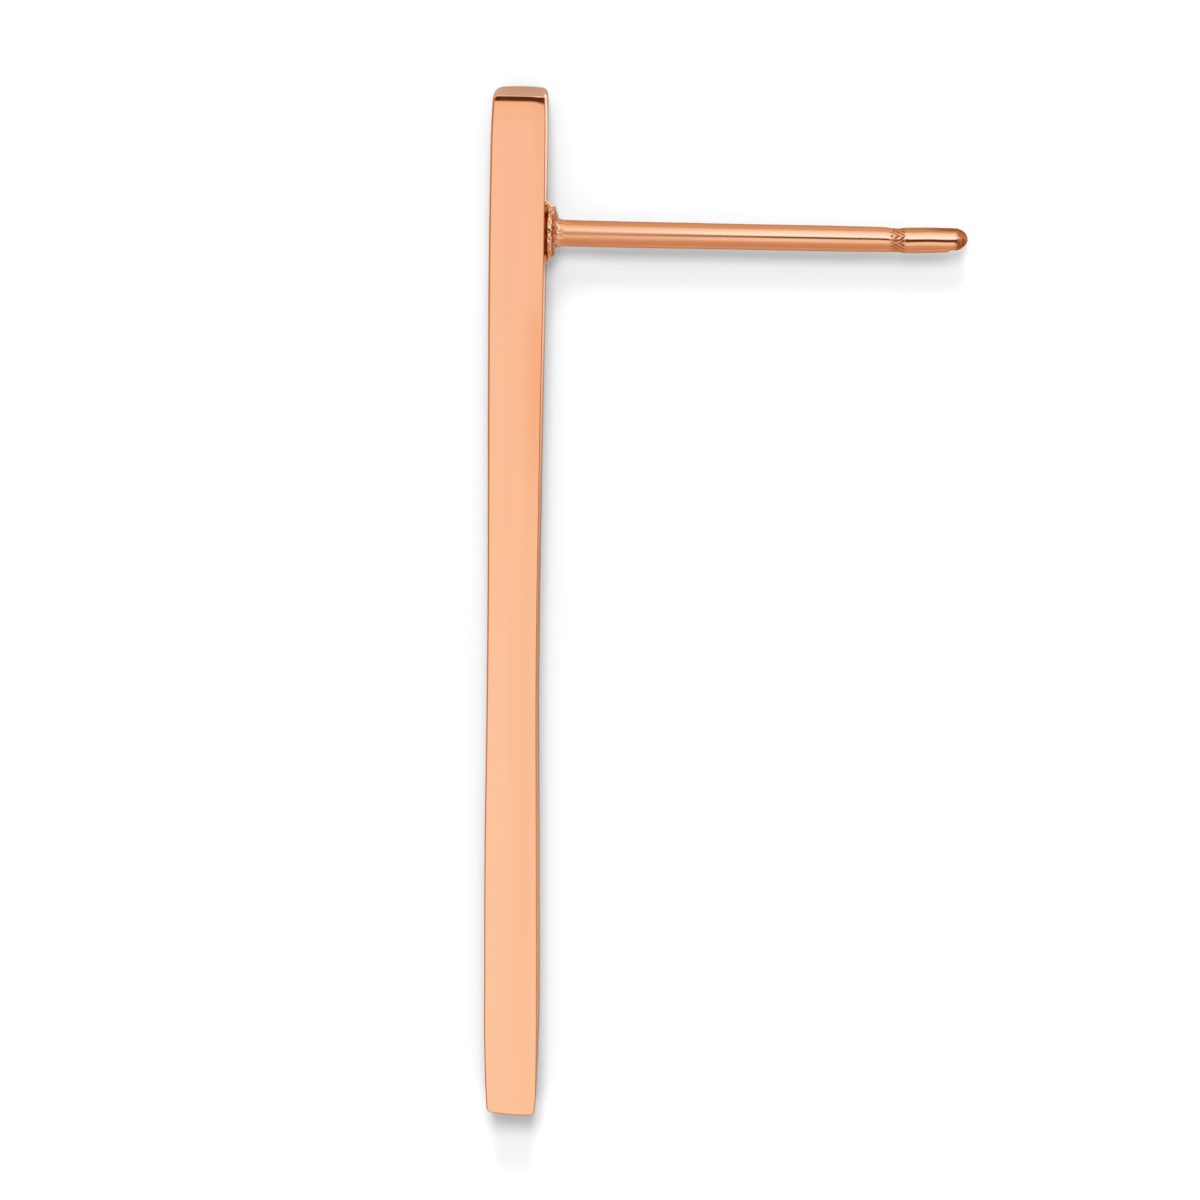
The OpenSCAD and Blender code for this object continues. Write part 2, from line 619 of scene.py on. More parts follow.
def knurl(distance, angle):
    """Crossing cuts and a row of dents round the ear nut groove, uneven: how deep they are, from 0 to 1."""
    even = KNURL_COUNT / 2 * angle
    uneven = sum(height * np.sin(waves * angle + phase) for waves, phase, height in KNURL_WAVES)
    along = (distance - CUTS_AT) / CUTS_HALF
    slant = CUT_SLANT * along
    share = smooth_step(*CUT_CHANGE, np.sin(CUT_CHANGES * angle + CUT_CHANGE_PHASE))
    one_way = strokes(even + slant + uneven, CUT_WIDTH, CUT_STRENGTH * share)
    other_way = strokes(even - slant + KNURL_TURN - uneven, CUT_WIDTH, CUT_STRENGTH * (1 - share))
    cuts = np.maximum(one_way, other_way) * (1 - smooth_step(*CUTS_FADE, abs(along)))
    dents = strokes(even + KNURL_TURN + uneven, DENT_WIDTH, DENT_STRENGTH)
    return np.maximum(cuts, DENT_SHARE * dents * bell(distance - DENTS_AT, DENTS_HALF))


def post_radius(distance, angle, cuts):
    """The post's radius all round, at this distance from the tip."""
    facet = 2 * math.pi / NOSE_FACETS
    facet_form = math.cos(facet / 2) / np.cos((angle - NOSE_EDGE_AT) % facet - facet / 2)
    in_nose = 1 - smooth_step(*NOSE_END, distance)
    in_tip = 1 - smooth_step(*TIP_END, distance)
    shape = 1 + (NOSE_SWELL * facet_form - 1) * in_nose * NOSE_FACET_SHARE
    shape += TIP_SKEW * in_tip * np.sin(2 * angle)
    shape -= nose_flat(distance) * smooth_step(*FLAT_SIDE, -np.sin(angle))
    shape -= TIP_FLAT_DEPTH * in_tip * bell(signed_angle(angle) - TIP_FLAT_AT, TIP_FLAT_WIDTH)
    return post_line(distance) * shape + KNURL_DEPTH * (KNURL_RAISED * in_groove(distance) - cuts)


def post_marks(distance, angle, cuts):
    """The post's painted warm cast, painted shade and blur all round, at this distance from the tip."""
    at_groove = in_groove(distance)
    in_cone = 1 - smooth_step(*CONE_END, distance)
    by_solder = smooth_step(*SOLDER_BEGIN, distance)
    rim = smooth_step(*RIM, np.abs(np.sin(angle))) * (1 - smooth_step(*TIP_END, distance))
    turned = signed_angle(angle)
    facet_edge = bell(turned - NOSE_EDGE_AT, FACET_EDGE_WIDTH)

    # Painted shade: in the cuts, along the shoulder, down the tip's sides and over the cone but for a painted
    # glint, and dark specks
    shoulder = 1 - SHOULDER_UNEVEN + SHOULDER_UNEVEN * np.sin(SHOULDER_WAVES * angle + SHOULDER_PHASE)
    shoulder *= SHOULDER_SHADE * bell(distance - SHOULDER_AT, SHOULDER_HALF)
    near_nose = 1 - smooth_step(*RIM_SHADE_FADE, distance)
    rim_shading = (RIM_SHADE + RIM_SHADE_MORE * (near_nose + at_groove)) * rim
    cone_shading = CONE_SHADE + CONE_SHADE_BELOW * smooth_step(*CONE_BELOW, -np.sin(angle))
    cone_shading *= in_cone * (1 - FACET_GLINT_LESS_SHADE * facet_edge)
    specks = [
        np.minimum(SPECK_STRENGTH * bell(distance - place, length) * bell(turned - at, width), 1)
        for place, at, length, width in SPECKS
    ]
    painted_shade = np.maximum.reduce([CUT_SHADE * cuts, shoulder, rim_shading, cone_shading, *specks])

    # Painted warm cast: a tint of the lit side's highlight, and painted shade in the groove, on the cone and
    # down the tip's sides
    painted_warm_cast = np.maximum.reduce([
        LIT_WARM_CAST * by_solder * lit_side(angle),
        np.full(len(angle), GROOVE_WARM_CAST * at_groove),
        in_cone * (1 - FACET_GLINT_LESS_CAST * facet_edge),
        RIM_WARM_CAST * rim,
    ])
    blur = SOLDER_BLUR * by_solder * (1 + dark_line(angle))
    blur += WIRE_BLUR * smooth_step(*WIRE_BEGIN, distance) + GROOVE_BLUR * at_groove
    return painted_warm_cast, painted_shade, blur


def make_post(material):
    angle = full_turn(POST_AROUND)
    places = [NOSE_ZONE * np.linspace(0, 1, NOSE_RINGS) ** NOSE_CROWDING]
    places += [np.linspace(*zone) for zone in POST_ZONES]
    rings = []
    marks = []
    for distance in np.concatenate(places):
        cuts = knurl(distance, angle)
        radius = post_radius(distance, angle, cuts)
        rings.append(ring_round_post(TIP_X - distance, radius, angle, post_bend(distance)))
        marks.append(post_marks(distance, angle, cuts))
    painted_warm_cast, painted_shade, blur = np.array(marks).transpose(1, 0, 2)
    return closed_skin("post", rings, material, {"painted_warm_cast": painted_warm_cast, "painted_shade": painted_shade, "blur": blur})


# Solder: its profile as (height above the back face, radius). The feet are what has run towards +Y and -Y.
SOLDER_LINE = [
    (-0.120, 0.500),
    (-0.030, 0.560),
    (0.000, 0.570),
    (0.045, 0.550),
    (0.068, 0.555),
    (0.082, 0.610),
    (0.092, 0.642),
    (0.102, 0.653),
    (0.118, 0.657),
    (0.150, 0.658),
    (0.190, 0.657),
    (0.204, 0.648),
    (0.213, 0.620),
    (0.223, 0.555),
    (0.235, 0.505),
    (0.255, 0.465),
    (0.280, 0.435),
    (0.302, 0.410),
    (0.320, 0.395),
    (0.350, 0.381),
    (0.400, 0.366),
    (0.450, 0.354),
    (0.510, 0.343),
    (0.570, 0.334),
]
TOP_FOOT_LINE = [
    (-0.120, 0.860),
    (0.000, 0.880),
    (0.045, 0.830),
    (0.080, 0.786),
    (0.106, 0.749),
    (0.132, 0.716),
    (0.158, 0.700),
    (0.183, 0.692),
    (0.209, 0.684),
    (0.235, 0.673),
    (0.261, 0.645),
    (0.287, 0.560),
    (0.312, 0.480),
    (0.338, 0.400),
    (0.364, 0.368),
    (0.400, 0.354),
    (0.570, 0.334),
]
BOTTOM_FOOT_LINE = [
    (-0.120, 0.820),
    (0.000, 0.840),
    (0.045, 0.795),
    (0.080, 0.752),
    (0.106, 0.712),
    (0.132, 0.666),
    (0.158, 0.645),
    (0.183, 0.626),
    (0.209, 0.606),
    (0.232, 0.588),
    (0.244, 0.560),
    (0.257, 0.470),
    (0.272, 0.410),
    (0.290, 0.392),
    (0.338, 0.380),
    (0.364, 0.368),
    (0.400, 0.352),
    (0.570, 0.334),
]
solder_line = curve_through(SOLDER_LINE)
top_foot_line = curve_through(TOP_FOOT_LINE)
bottom_foot_line = curve_through(BOTTOM_FOOT_LINE)
# How finely the solder is divided: going round, and by height as (begins, ends, rings)
SOLDER_AROUND = 480
SOLDER_ZONES = [
    (-0.12, 0.03, 12),
    (0.034, 0.36, 112),
    (0.365, 0.57, 28),
]
# Where going round the feet take over from the round bead, as (height, sine of the angle where they begin to,
# sine where they have). The gap behind the crest runs farther round than the hollow beyond it.
FOOT_SPREAD = [
    (0.05, 0.955, 0.998),
    (0.08, 0.920, 0.965),
    (0.13, 0.920, 0.965),
    (0.19, 0.780, 0.910),
]
# The rise and the fall, by height, of the crumpled skin, the wrinkled neck, the gap next to the bar and the
# hollow between the crest and the neck
CRUMPLED = ((0.06, 0.11), (0.30, 0.36))
NECK = ((0.26, 0.33), (0.42, 0.56))
GAP = ((0.0, 0.02), (0.072, 0.094))
HOLLOW = ((0.200, 0.215), (0.228, 0.252))
# The heights at which the crest ends, the skin gets sharper, the feet's skin gets crumpled and the post's
# looks begin
CREST_END = (0.19, 0.22)
SHARPER = (0.21, 0.24)
FOOT_CRUMPLES = (0.14, 0.22)
POST_LOOKS = (0.30, 0.48)
# The lumpy skin: the size of its nuggets along the post and around it, how far and how finely their places
# are warped, and the depth and width of the creases between them
NUGGET_SIZE = (0.090, 0.140)
NUGGET_WARP = 0.45
WARP_SCALE = 0.9
CREASE_DEPTH = 0.008
CREASE_HALF = 0.07
# Each nugget is domed, from so high in its middle and falling so fast, and tilted at random
NUGGET_DOME = 0.009
DOME_MIDDLE = 0.35
DOME_FALL = 1.5
NUGGET_TILT = 0.030
TILT_SEED = 41.0
# How much of that the crest has, how much more the sharper skin has, and how much less the feet have low down
CREST_SHARE = 0.40
SHARPER_MORE = 0.5
FOOT_LESS = 0.85
# Fine roughness of the skin, with less of it on the neck: its depth, scale, and the noise's falloff, steps
# between octaves and number of octaves
ROUGH_DEPTH = 0.002
ROUGH_SCALE = 1.3
ROUGH_NOISE = (0.9, 2.1, 3)
NECK_ROUGH = 0.6
# The neck's wrinkles, and how much the roughness bends them
WRINKLES = 17
WRINKLE_DEPTH = 0.004
WRINKLE_UNEVEN = 1.5
# Lumps and pits, as (angle in degrees, height, size, how far it stands out)
LUMPS = [
    (66, 0.265, 0.040, 0.060),
    (52, 0.245, 0.035, 0.050),
    (74, 0.200, 0.030, 0.020),
    (-56, 0.225, 0.035, 0.060),
    (-70, 0.150, 0.040, 0.020),
    (-48, 0.262, 0.024, -0.060),
    (-76, 0.226, 0.022, -0.060),
    (-4, 0.150, 0.020, -0.025),
    (25, 0.130, 0.060, 0.008),
]
# Painted shade in the hollow and in the creases. The gap and the pits are painted fully dark with it.
HOLLOW_SHADE = 0.40
CREASE_SHADE = 0.65
# Painted light, a paler gold: full on the feet and where the bead points to the bar's bottom end, and at
# least this elsewhere
PAINTED_LIGHT_LEAST = 0.5
PAINTED_LIGHT_SIDE = (-0.1, 0.35)


def foot_share(height, angle):
    """How far the feet take over from the round bead, all round at this height."""
    heights, begins, ends = zip(*FOOT_SPREAD)
    begin = np.interp(height, heights, begins)
    end = np.interp(height, heights, ends)
    return smooth_step(begin, end, np.abs(np.sin(angle)))


def nugget(height, sideways, upwards):
    """The lumpy skin at one place: how far it stands out, how deep in a crease it is, and its roughness."""
    along, around = NUGGET_SIZE
    place = Vector((height / along, sideways / around, upwards / around))
    place += NUGGET_WARP * noise.noise_vector(place * WARP_SCALE)
    near, centres = noise.voronoi(place)
    crease = math.exp(-(((near[1] - near[0]) / CREASE_HALF) ** 2))
    tilt = 2 * noise.cell_vector(centres[0] * TILT_SEED) - Vector((1, 1, 1))
    facet = (place - centres[0]).dot(tilt)
    dome = DOME_MIDDLE - DOME_FALL * near[0] ** 2
    stands_out = NUGGET_DOME * dome + NUGGET_TILT * facet - CREASE_DEPTH * crease
    return stands_out, crease, noise.fractal(place * ROUGH_SCALE, *ROUGH_NOISE)


def lumps_and_pits(height, radius, angle):
    """How far the lumps and pits stand out all round at this height, and how deep in a pit each place is."""
    stands_out = np.zeros(len(angle))
    pit = np.zeros(len(angle))
    for lump_angle, lump_height, size, out in LUMPS:
        turn = signed_angle(angle - math.radians(lump_angle))
        nearness = bell(np.hypot(turn * radius, height - lump_height), size)
        stands_out += out * nearness
        if out < 0:
            pit += nearness
    return stands_out, pit


def make_solder(material):
    angle = full_turn(SOLDER_AROUND)
    heights = np.concatenate([np.linspace(*zone) for zone in SOLDER_ZONES])
    towards_bottom = smooth_step(*PAINTED_LIGHT_SIDE, -np.sin(angle))
    rings = []
    painted_shade = []
    painted_light = []
    for height in heights:
        foot = np.where(np.sin(angle) > 0, top_foot_line(height), bottom_foot_line(height))
        on_foot = foot_share(height, angle)
        radius = solder_line(height) * (1 - on_foot) + foot * on_foot
        skin = [nugget(height, r * math.sin(a), r * math.cos(a)) for r, a in zip(radius, angle)]
        nuggets, crease, rough = np.array(skin).T
        lumps, pit = lumps_and_pits(height, radius, angle)

        crumpled = band(height, *CRUMPLED)
        body = crumpled * (CREST_SHARE + (1 - CREST_SHARE) * smooth_step(*CREST_END, height))
        neck = band(height, *NECK)
        open_skin = 1 - FOOT_LESS * on_foot * (1 - smooth_step(*FOOT_CRUMPLES, height))
        lumpy = body * open_skin * (1 + SHARPER_MORE * smooth_step(*SHARPER, height))
        stands_out = nuggets * lumpy + ROUGH_DEPTH * rough * max(body, NECK_ROUGH * neck)
        stands_out += WRINKLE_DEPTH * neck * np.sin(WRINKLES * angle + WRINKLE_UNEVEN * rough)
        rings.append(ring_round_post(BACK_X + height, radius + stands_out + lumps, angle))

        # Painted shade: in the gap by the bar, the hollow, the pits and the creases
        gap = band(height, *GAP) * (1 - on_foot)
        hollow = HOLLOW_SHADE * band(height, *HOLLOW) * (1 - on_foot)
        creases = CREASE_SHADE * crease * crumpled * open_skin
        painted_shade.append(np.minimum(np.maximum.reduce([gap, hollow, pit, creases]), 1))
        # Painted light: a paler gold that brightens the solder's reflections, fading out towards the neck
        pale = np.maximum(on_foot, PAINTED_LIGHT_LEAST + (1 - PAINTED_LIGHT_LEAST) * towards_bottom)
        painted_light.append(pale * (1 - smooth_step(*POST_LOOKS, height)))
    to_post = smooth_step(*POST_LOOKS, heights)[:, None]
    # On the neck the post's blur and its painted warm cast on the lit side take over
    marks = {
        "painted_warm_cast": LIT_WARM_CAST * to_post * lit_side(angle),
        "painted_shade": painted_shade,
        "blur": to_post * (WIRE_BLUR + SOLDER_BLUR * (1 + dark_line(angle))),
        "painted_light": painted_light,
    }
    return closed_skin("solder_joint", rings, material, marks)


def add_node(tree, kind, **inputs):
    """A node with some of its inputs set. Spaces in input names are written as underscores."""
    node = tree.nodes.new(kind)
    for key, value in inputs.items():
        node.inputs[key.replace("_", " ")].default_value = value
    return node


def worked_out(tree, operation, *values):
    """One number worked out from others, each given as a number or as another node's output."""
    node = tree.nodes.new("ShaderNodeMath")
    node.operation = operation
    for socket, value in zip(node.inputs, values):
        if isinstance(value, float):
            socket.default_value = value
        else:
            tree.links.new(value, socket)
    return node.outputs["Value"]


def mixed_color(tree, share, first, second):
    """A colour between two others, by a share that a node gives."""
    mix = tree.nodes.new("ShaderNodeMix")
    mix.data_type = "RGBA"
    tree.links.new(share, mix.inputs["Factor"])
    sockets = [socket for socket in mix.inputs if socket.type == "RGBA"]
    for socket, color in zip(sockets, (first, second)):
        if isinstance(color, tuple):
            socket.default_value = (*color, 1)
        else:
            tree.links.new(color, socket)
    return next(socket for socket in mix.outputs if socket.type == "RGBA")


def mixed_shader(tree, share, first, second):
    """A shader between two others, by a share that a node gives."""
    mix = tree.nodes.new("ShaderNodeMixShader")
    tree.links.new(share, mix.inputs["Fac"])
    tree.links.new(first, mix.inputs[1])
    tree.links.new(second, mix.inputs[2])
    return mix.outputs["Shader"]


def stretched_noise(tree, scale, shift, detail, roughness):
    """Noise over the piece's own places, scaled along X, Y and Z."""
    place = tree.nodes.new("ShaderNodeTexCoord")
    mapping = add_node(tree, "ShaderNodeMapping", Scale=scale, Location=shift)
    texture = add_node(tree, "ShaderNodeTexNoise", Scale=1.0, Detail=detail, Roughness=roughness)
    tree.links.new(place.outputs["Object"], mapping.inputs["Vector"])
    tree.links.new(mapping.outputs["Vector"], texture.inputs["Vector"])
    return texture.outputs["Fac"]


# The metal's fine lines: the noise's values at which the metal is least and most rough
LINES_FROM = 0.3
LINES_TO = 0.7
# Its patches of deeper tone are so many times as broad as the lines, lie elsewhere, and come in between these
# values of their noise
PATCH_SIZE = 4
PATCH_SHIFT = (3.7, 1.3, 8.1)
PATCHES_FROM = 0.35
PATCHES_TO = 0.75


def polished_gold(name, stretch, roughness, line_depth):
    """Polished rose gold with fine polishing lines, stretched by so many mm along X, Y and Z.

    roughness gives its least and its most, and line_depth is in mm.
    """
    material = bpy.data.materials.new(name)
    material.use_nodes = True
    tree = material.node_tree
    shader = tree.nodes["Principled BSDF"]
    shader.inputs["Base Color"].default_value = (*GOLD, 1)
    shader.inputs["Metallic"].default_value = 1.0
    shader.inputs["Roughness"].default_value = roughness[0]
    shader.inputs["Specular Tint"].default_value = (*EDGE_TINT, 1)
    scale = [1 / (MM * s) for s in stretch]
    lines = stretched_noise(tree, scale, (0, 0, 0), detail=4.0, roughness=0.6)
    broad = [s / PATCH_SIZE for s in scale]
    patches = stretched_noise(tree, broad, PATCH_SHIFT, detail=2.0, roughness=0.5)
    marks = {}
    for mark in MARKS:
        attribute = tree.nodes.new("ShaderNodeAttribute")
        attribute.attribute_name = mark
        marks[mark] = attribute.outputs["Fac"]

    gloss = add_node(tree, "ShaderNodeMapRange", From_Min=LINES_FROM, From_Max=LINES_TO)
    gloss.inputs["To Min"].default_value = roughness[0]
    gloss.inputs["To Max"].default_value = roughness[1]
    tree.links.new(lines, gloss.inputs["Value"])
    softer = worked_out(tree, "ADD", gloss.outputs["Result"], marks["blur"])
    duller = worked_out(tree, "MULTIPLY_ADD", marks["painted_shade"], SHADE_ROUGHNESS, softer)
    tree.links.new(duller, shader.inputs["Roughness"])

    tone = tree.nodes.new("ShaderNodeValToRGB")
    stops = zip(tone.color_ramp.elements, (PATCHES_FROM, PATCHES_TO), (GOLD, GOLD_DEEP))
    for stop, position, color in stops:
        stop.position = position
        stop.color = (*color, 1)
    tree.links.new(patches, tone.inputs["Fac"])
    # The painted light, the painted warm cast and the painted shade go over the gold's own tones
    paled = mixed_color(tree, marks["painted_light"], tone.outputs["Color"], GOLD_PAINTED_LIGHT)
    warmed = mixed_color(tree, marks["painted_warm_cast"], paled, GOLD_WARM_CAST)
    shaded = mixed_color(tree, marks["painted_shade"], warmed, SHADE_COLOR)
    tree.links.new(shaded, shader.inputs["Base Color"])

    bump = add_node(tree, "ShaderNodeBump", Strength=1.0, Distance=line_depth * MM)
    tree.links.new(lines, bump.inputs["Height"])
    tree.links.new(bump.outputs["Normal"], shader.inputs["Normal"])
    return material


bar_metal = polished_gold(
    "bar_rose_gold", stretch=(0.16, 9.0, 0.16), roughness=(0.05, 0.09), line_depth=0.0004
)
post_metal = polished_gold(
    "post_rose_gold", stretch=(3.0, 0.06, 0.06), roughness=(0.05, 0.10), line_depth=0.0005
)
solder_metal = polished_gold(
    "solder_rose_gold", stretch=(0.08, 0.08, 0.08), roughness=(0.05, 0.12), line_depth=0.0012
)

for piece in (make_bar(bar_metal), make_post(post_metal), make_solder(solder_metal)):
    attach(piece, BODY)
    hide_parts(NODE)

# Floor: plain white to the camera. In the metal it looks darker and warmer, as the room beyond a sweep would,
# but for two lighter cards: one lies beside the bar's back, the other beyond its top end.
FLOOR_HALF = 3000.0
FLOOR_SEEN = (0.5855, 0.5855, 0.5855)
FLOOR_MIRRORED = (0.350, 0.265, 0.200)
# Beyond the post it looks a little lighter in the metal
FLOOR_BEYOND_POST = (0.355, 0.287, 0.238)
BEYOND_POST_Y = (0.5, 1.2)
BEYOND_POST_X = (0.9, 1.3)
# The card beyond the top end: where along Y it begins and ends, and how far it reaches to either side
END_CARD = (0.380, 0.385, 0.395)
END_CARD_ALONG = ((3.5, 3.7), (6.0, 8.0))
END_CARD_ASIDE = (0.9, 1.4)
# The card beside the back: where it begins and ends along Y, and where it ends in X
BACK_CARD_ALONG = ((-25.0, -24.0), (5.0, 6.0))
BACK_CARD_END = (0.9, 1.15)
# It begins a little away from the bar's back face, as (Y, distance), and fades in over this width
CARD_AWAY = [(2.8, 0.012), (3.2, 0.022), (3.45, 0.048), (3.6, 0.062), (3.8, 0.085)]
CARD_FADE = 0.024
# Its colour along Y, which turns bluer at the bar's top end
BACK_CARD = [
    (-24.0, (0.55, 0.38, 0.27)),
    (-17.0, (0.57, 0.39, 0.275)),
    (-12.5, (0.50, 0.32, 0.21)),
    (-9.0, (0.50, 0.32, 0.21)),
    (-7.3, (0.55, 0.38, 0.29)),
    (-5.0, (0.75, 0.51, 0.37)),
    (-2.6, (0.90, 0.67, 0.57)),
    (-1.0, (0.93, 0.76, 0.63)),
    (1.5, (0.97, 0.86, 0.76)),
    (3.0, (0.97, 0.86, 0.76)),
    (3.6, (0.62, 0.80, 0.95)),
]
# The floor's mesh: columns at a distance from the bar's back face between columns at a fixed X, and rows at a
# fixed Y
COLUMNS_BEFORE = [-FLOOR_HALF, -2.0, -1.4, -1.15, -0.9, 0.0, 0.5]
COLUMNS_FROM_BACK = [0.0, 0.006, 0.012, 0.018, 0.024, 0.030, 0.036, 0.044, 0.054, 0.066, 0.080, 0.095, 0.110]
COLUMNS_BEYOND = [0.90, 0.96, 1.02, 1.08, 1.15, 1.3, 1.6, 3.0, FLOOR_HALF]
ROWS = [
    -FLOOR_HALF,
    *np.arange(-26.0, 3.0, 0.25),
    *np.arange(3.0, 4.0, 0.05),
    *np.arange(4.0, 9.0, 0.25),
    FLOOR_HALF,
]


def blended(first, second, share):
    return np.array(first) * (1 - share) + np.array(second) * share


def floor_mirrored(x, y):
    """The floor's colour as the metal sees it, at a place in millimetres."""
    beyond_post = smooth_step(*BEYOND_POST_Y, y) * smooth_step(*BEYOND_POST_X, x)
    beyond_end = band(y, *END_CARD_ALONG) * (1 - smooth_step(*END_CARD_ASIDE, abs(x)))
    start = np.interp(y, *zip(*CARD_AWAY))
    beside_back = smooth_step(start, start + CARD_FADE, x - back_line(y))
    beside_back *= band(y, *BACK_CARD_ALONG) * (1 - smooth_step(*BACK_CARD_END, x))
    places = [place for place, _ in BACK_CARD]
    back_card = [np.interp(y, places, levels) for levels in zip(*[color for _, color in BACK_CARD])]
    color = blended(FLOOR_MIRRORED, FLOOR_BEYOND_POST, beyond_post)
    color = blended(color, END_CARD, beyond_end)
    return blended(color, back_card, beside_back)


def floor_material():
    """White to the camera, and the mesh's own colours to the metal."""
    material = bpy.data.materials.new("pale_floor")
    material.use_nodes = True
    tree = material.node_tree
    tree.nodes.clear()
    ray = tree.nodes.new("ShaderNodeLightPath")
    color = tree.nodes.new("ShaderNodeAttribute")
    color.attribute_name = "mirrored"
    mirrored = tree.nodes.new("ShaderNodeBsdfDiffuse")
    seen = add_node(tree, "ShaderNodeBsdfDiffuse", Color=(*FLOOR_SEEN, 1))
    out = tree.nodes.new("ShaderNodeOutputMaterial")
    tree.links.new(color.outputs["Color"], mirrored.inputs["Color"])
    to_camera = ray.outputs["Is Camera Ray"]
    surface = mixed_shader(tree, to_camera, mirrored.outputs["BSDF"], seen.outputs["BSDF"])
    tree.links.new(surface, out.inputs["Surface"])
    return material


def make_floor():
    points = []
    colors = []
    for y in ROWS:
        from_back = [back_line(y) + away for away in COLUMNS_FROM_BACK]
        for x in COLUMNS_BEFORE + from_back + COLUMNS_BEYOND:
            points.append((x * MM, y * MM, 0))
            colors.extend((*floor_mirrored(x, y), 1))
    wide = len(points) // len(ROWS)
    faces = [
        (k * wide + i, k * wide + i + 1, (k + 1) * wide + i + 1, (k + 1) * wide + i)
        for k in range(len(ROWS) - 1)
        for i in range(wide - 1)
    ]
    mesh = bpy.data.meshes.new("floor")
    mesh.from_pydata(points, [], faces)
    layer = mesh.attributes.new("mirrored", "FLOAT_COLOR", "POINT")
    layer.data.foreach_set("color", colors)
    mesh.materials.append(floor_material())
    floor = bpy.data.objects.new("floor", mesh)
    bpy.context.scene.collection.objects.link(floor)


# What the metal mirrors, by angle in degrees from straight up towards +Y: a warm wall and a soft panel beyond
# the bar's bottom end, the dark gap where the camera stands, and a brighter, bluer panel beyond the top end
PANELS = [
    (-90, (0.60, 0.40, 0.30)),
    (-60, (0.62, 0.43, 0.32)),
    (-45, (0.66, 0.47, 0.36)),
    (-34, (0.74, 0.57, 0.47)),
    (-24, (0.86, 0.71, 0.64)),
    (-18, (1.00, 0.98, 0.98)),
    (-15, (1.03, 1.07, 1.09)),
    (-13, (1.02, 1.02, 1.02)),
    (-11, (1.00, 0.92, 0.92)),
    (-5, (1.00, 0.92, 0.91)),
    (4, (0.98, 0.88, 0.87)),
    (8, (0.12, 0.04, 0.008)),
    (19, (0.12, 0.04, 0.008)),
    (24, (0.95, 1.25, 1.50)),
    (30, (1.10, 1.50, 1.90)),
    (38, (1.10, 1.60, 2.05)),
    (48, (1.10, 1.45, 1.80)),
    (57, (1.05, 1.30, 1.55)),
    (70, (1.03, 1.18, 1.30)),
    (80, (0.95, 0.95, 0.98)),
    (90, (0.80, 0.65, 0.55)),
]
# Towards +X and -X the panels give way to a plain wall and that to a dim one, by degrees of lean to that side
PANELS_END = (28, 42)
WALL_DIMS = (48, 68)
WALL = (0.72, 0.60, 0.50)
DIM_WALL = (0.48, 0.24, 0.12)
# How bright the white backdrop is to the camera, and the white sky that lights the floor
BACKDROP_LEVEL = 1.3
SKY_LEVEL = 1.0
# The lamps, both beyond the bar's top end: name, degrees from straight up, strength and width in degrees
LAMPS = [
    ("high_key", 26.9, 2.243, 17.0),
    ("low_key", 55.0, 2.100, 16.4),
]
# The light that the bar and the solder throw back onto the floor in the corner below the post, which the
# render leaves out: a small shadowless lamp at this place, of this size, and with this power in watts
BOUNCE_AT = (1.15, -0.70, 1.20)
BOUNCE_SIZE = 0.2
BOUNCE_POWER = 1.5e-5


def wall_share(tree, aside, change):
    """How far a change to either side has gone, from its two angles in degrees."""
    begin, end = (math.sin(math.radians(degrees)) for degrees in change)
    share = add_node(tree, "ShaderNodeMapRange", From_Min=begin, From_Max=end)
    share.interpolation_type = "SMOOTHSTEP"
    tree.links.new(aside, share.inputs["Value"])
    return share.outputs["Result"]


def panel_colors(tree, split):
    """The row of panels as a background shader, by the direction's angle from straight up towards +Y."""
    angle = worked_out(tree, "ARCTAN2", split.outputs["Y"], split.outputs["Z"])
    share = add_node(tree, "ShaderNodeMapRange", From_Min=-math.pi / 2, From_Max=math.pi / 2)
    tree.links.new(angle, share.inputs["Value"])
    brightest = max(max(color) for _, color in PANELS)
    ramp = tree.nodes.new("ShaderNodeValToRGB")
    stops = ramp.color_ramp.elements
    while len(stops) < len(PANELS):
        stops.new(0.5)
    for stop, (degrees, color) in zip(stops, PANELS):
        stop.position = (degrees + 90) / 180
        stop.color = (*[level / brightest for level in color], 1)
    tree.links.new(share.outputs["Result"], ramp.inputs["Fac"])
    panels = add_node(tree, "ShaderNodeBackground", Strength=brightest)
    tree.links.new(ramp.outputs["Color"], panels.inputs["Color"])
    return panels.outputs["Background"]


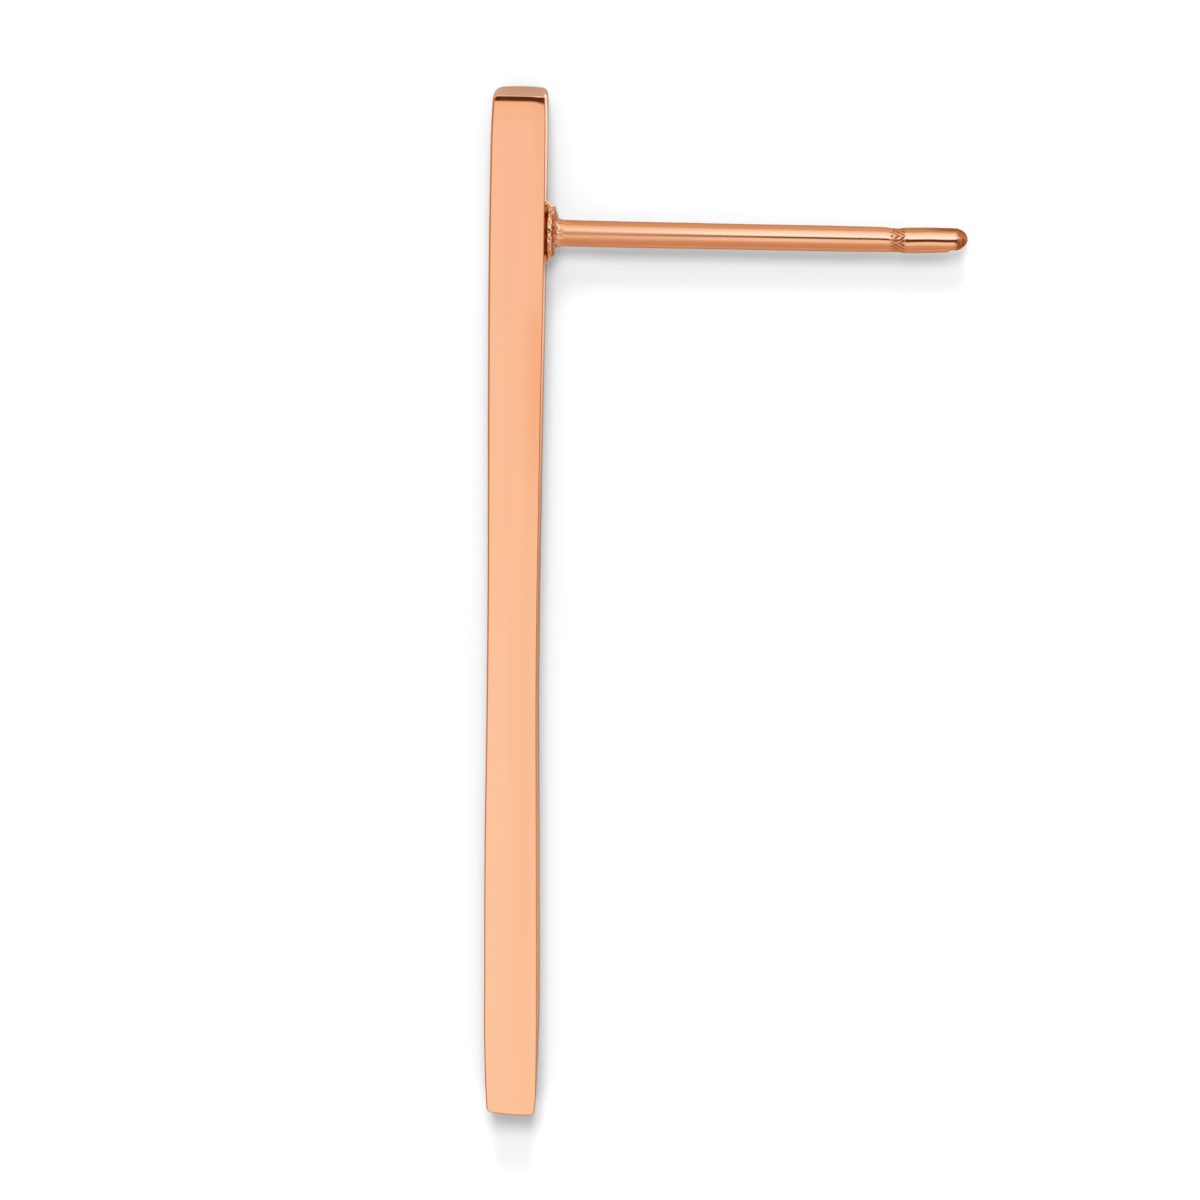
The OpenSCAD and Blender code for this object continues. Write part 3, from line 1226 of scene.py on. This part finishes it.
def make_world():
    world = bpy.data.worlds.new("studio")
    bpy.context.scene.world = world
    world.use_nodes = True
    world.cycles.sampling_method = "NONE"
    tree = world.node_tree
    tree.nodes.clear()
    place = tree.nodes.new("ShaderNodeTexCoord")
    split = tree.nodes.new("ShaderNodeSeparateXYZ")
    tree.links.new(place.outputs["Generated"], split.inputs["Vector"])
    aside = worked_out(tree, "ABSOLUTE", split.outputs["X"])
    walls = add_node(tree, "ShaderNodeBackground", Strength=1.0)
    wall_color = mixed_color(tree, wall_share(tree, aside, WALL_DIMS), WALL, DIM_WALL)
    tree.links.new(wall_color, walls.inputs["Color"])
    panels = panel_colors(tree, split)
    mirrored = mixed_shader(tree, wall_share(tree, aside, PANELS_END), panels, walls.outputs["Background"])

    ray = tree.nodes.new("ShaderNodeLightPath")
    sky = add_node(tree, "ShaderNodeBackground", Color=(1, 1, 1, 1), Strength=SKY_LEVEL)
    backdrop = add_node(tree, "ShaderNodeBackground", Color=(1, 1, 1, 1), Strength=BACKDROP_LEVEL)
    out = tree.nodes.new("ShaderNodeOutputWorld")
    in_metal = mixed_shader(tree, ray.outputs["Is Glossy Ray"], sky.outputs["Background"], mirrored)
    surface = mixed_shader(tree, ray.outputs["Is Camera Ray"], in_metal, backdrop.outputs["Background"])
    tree.links.new(surface, out.inputs["Surface"])


def make_lamps():
    for name, degrees, strength, width in LAMPS:
        sun = bpy.data.lights.new(name, "SUN")
        sun.energy = strength
        sun.angle = math.radians(width)
        lamp = bpy.data.objects.new(name, sun)
        lamp.rotation_euler = (-math.radians(degrees), 0, 0)
        lamp.visible_glossy = False
        bpy.context.scene.collection.objects.link(lamp)


def make_bounce():
    point = bpy.data.lights.new("bounce", "POINT")
    point.energy = BOUNCE_POWER
    point.shadow_soft_size = BOUNCE_SIZE * MM
    point.use_shadow = False
    point.cycles.cast_shadow = False
    bounce = bpy.data.objects.new("bounce", point)
    bounce.location = [place * MM for place in BOUNCE_AT]
    bounce.visible_glossy = False
    bounce.visible_camera = False
    bpy.context.scene.collection.objects.link(bounce)


def make_camera():
    toward = Vector((math.tan(LEAN_TO_POST), math.tan(LEAN_TO_TOP), 1)).normalized()
    right = Vector((0, 1, 0)).cross(toward).normalized()
    up = toward.cross(right)
    turned_right = right * math.cos(CAMERA_ROLL) + up * math.sin(CAMERA_ROLL)
    turned_up = up * math.cos(CAMERA_ROLL) - right * math.sin(CAMERA_ROLL)
    turn = Matrix((turned_right, turned_up, toward)).transposed().to_4x4()
    data = bpy.data.cameras.new("camera")
    data.sensor_width = SENSOR
    data.lens = SENSOR * CAMERA_DISTANCE / PICTURE_WIDTH
    data.clip_start = NEAR_CLIP * MM
    camera = bpy.data.objects.new("camera", data)
    camera.matrix_world = Matrix.Translation((AIM + toward * CAMERA_DISTANCE) * MM) @ turn
    bpy.context.scene.collection.objects.link(camera)
    bpy.context.scene.camera = camera


make_floor()
make_world()
make_lamps()
make_bounce()
make_camera()
scene = bpy.context.scene
scene.view_settings.view_transform = "Standard"
scene.cycles.use_denoising = True
scene.cycles.caustics_reflective = False
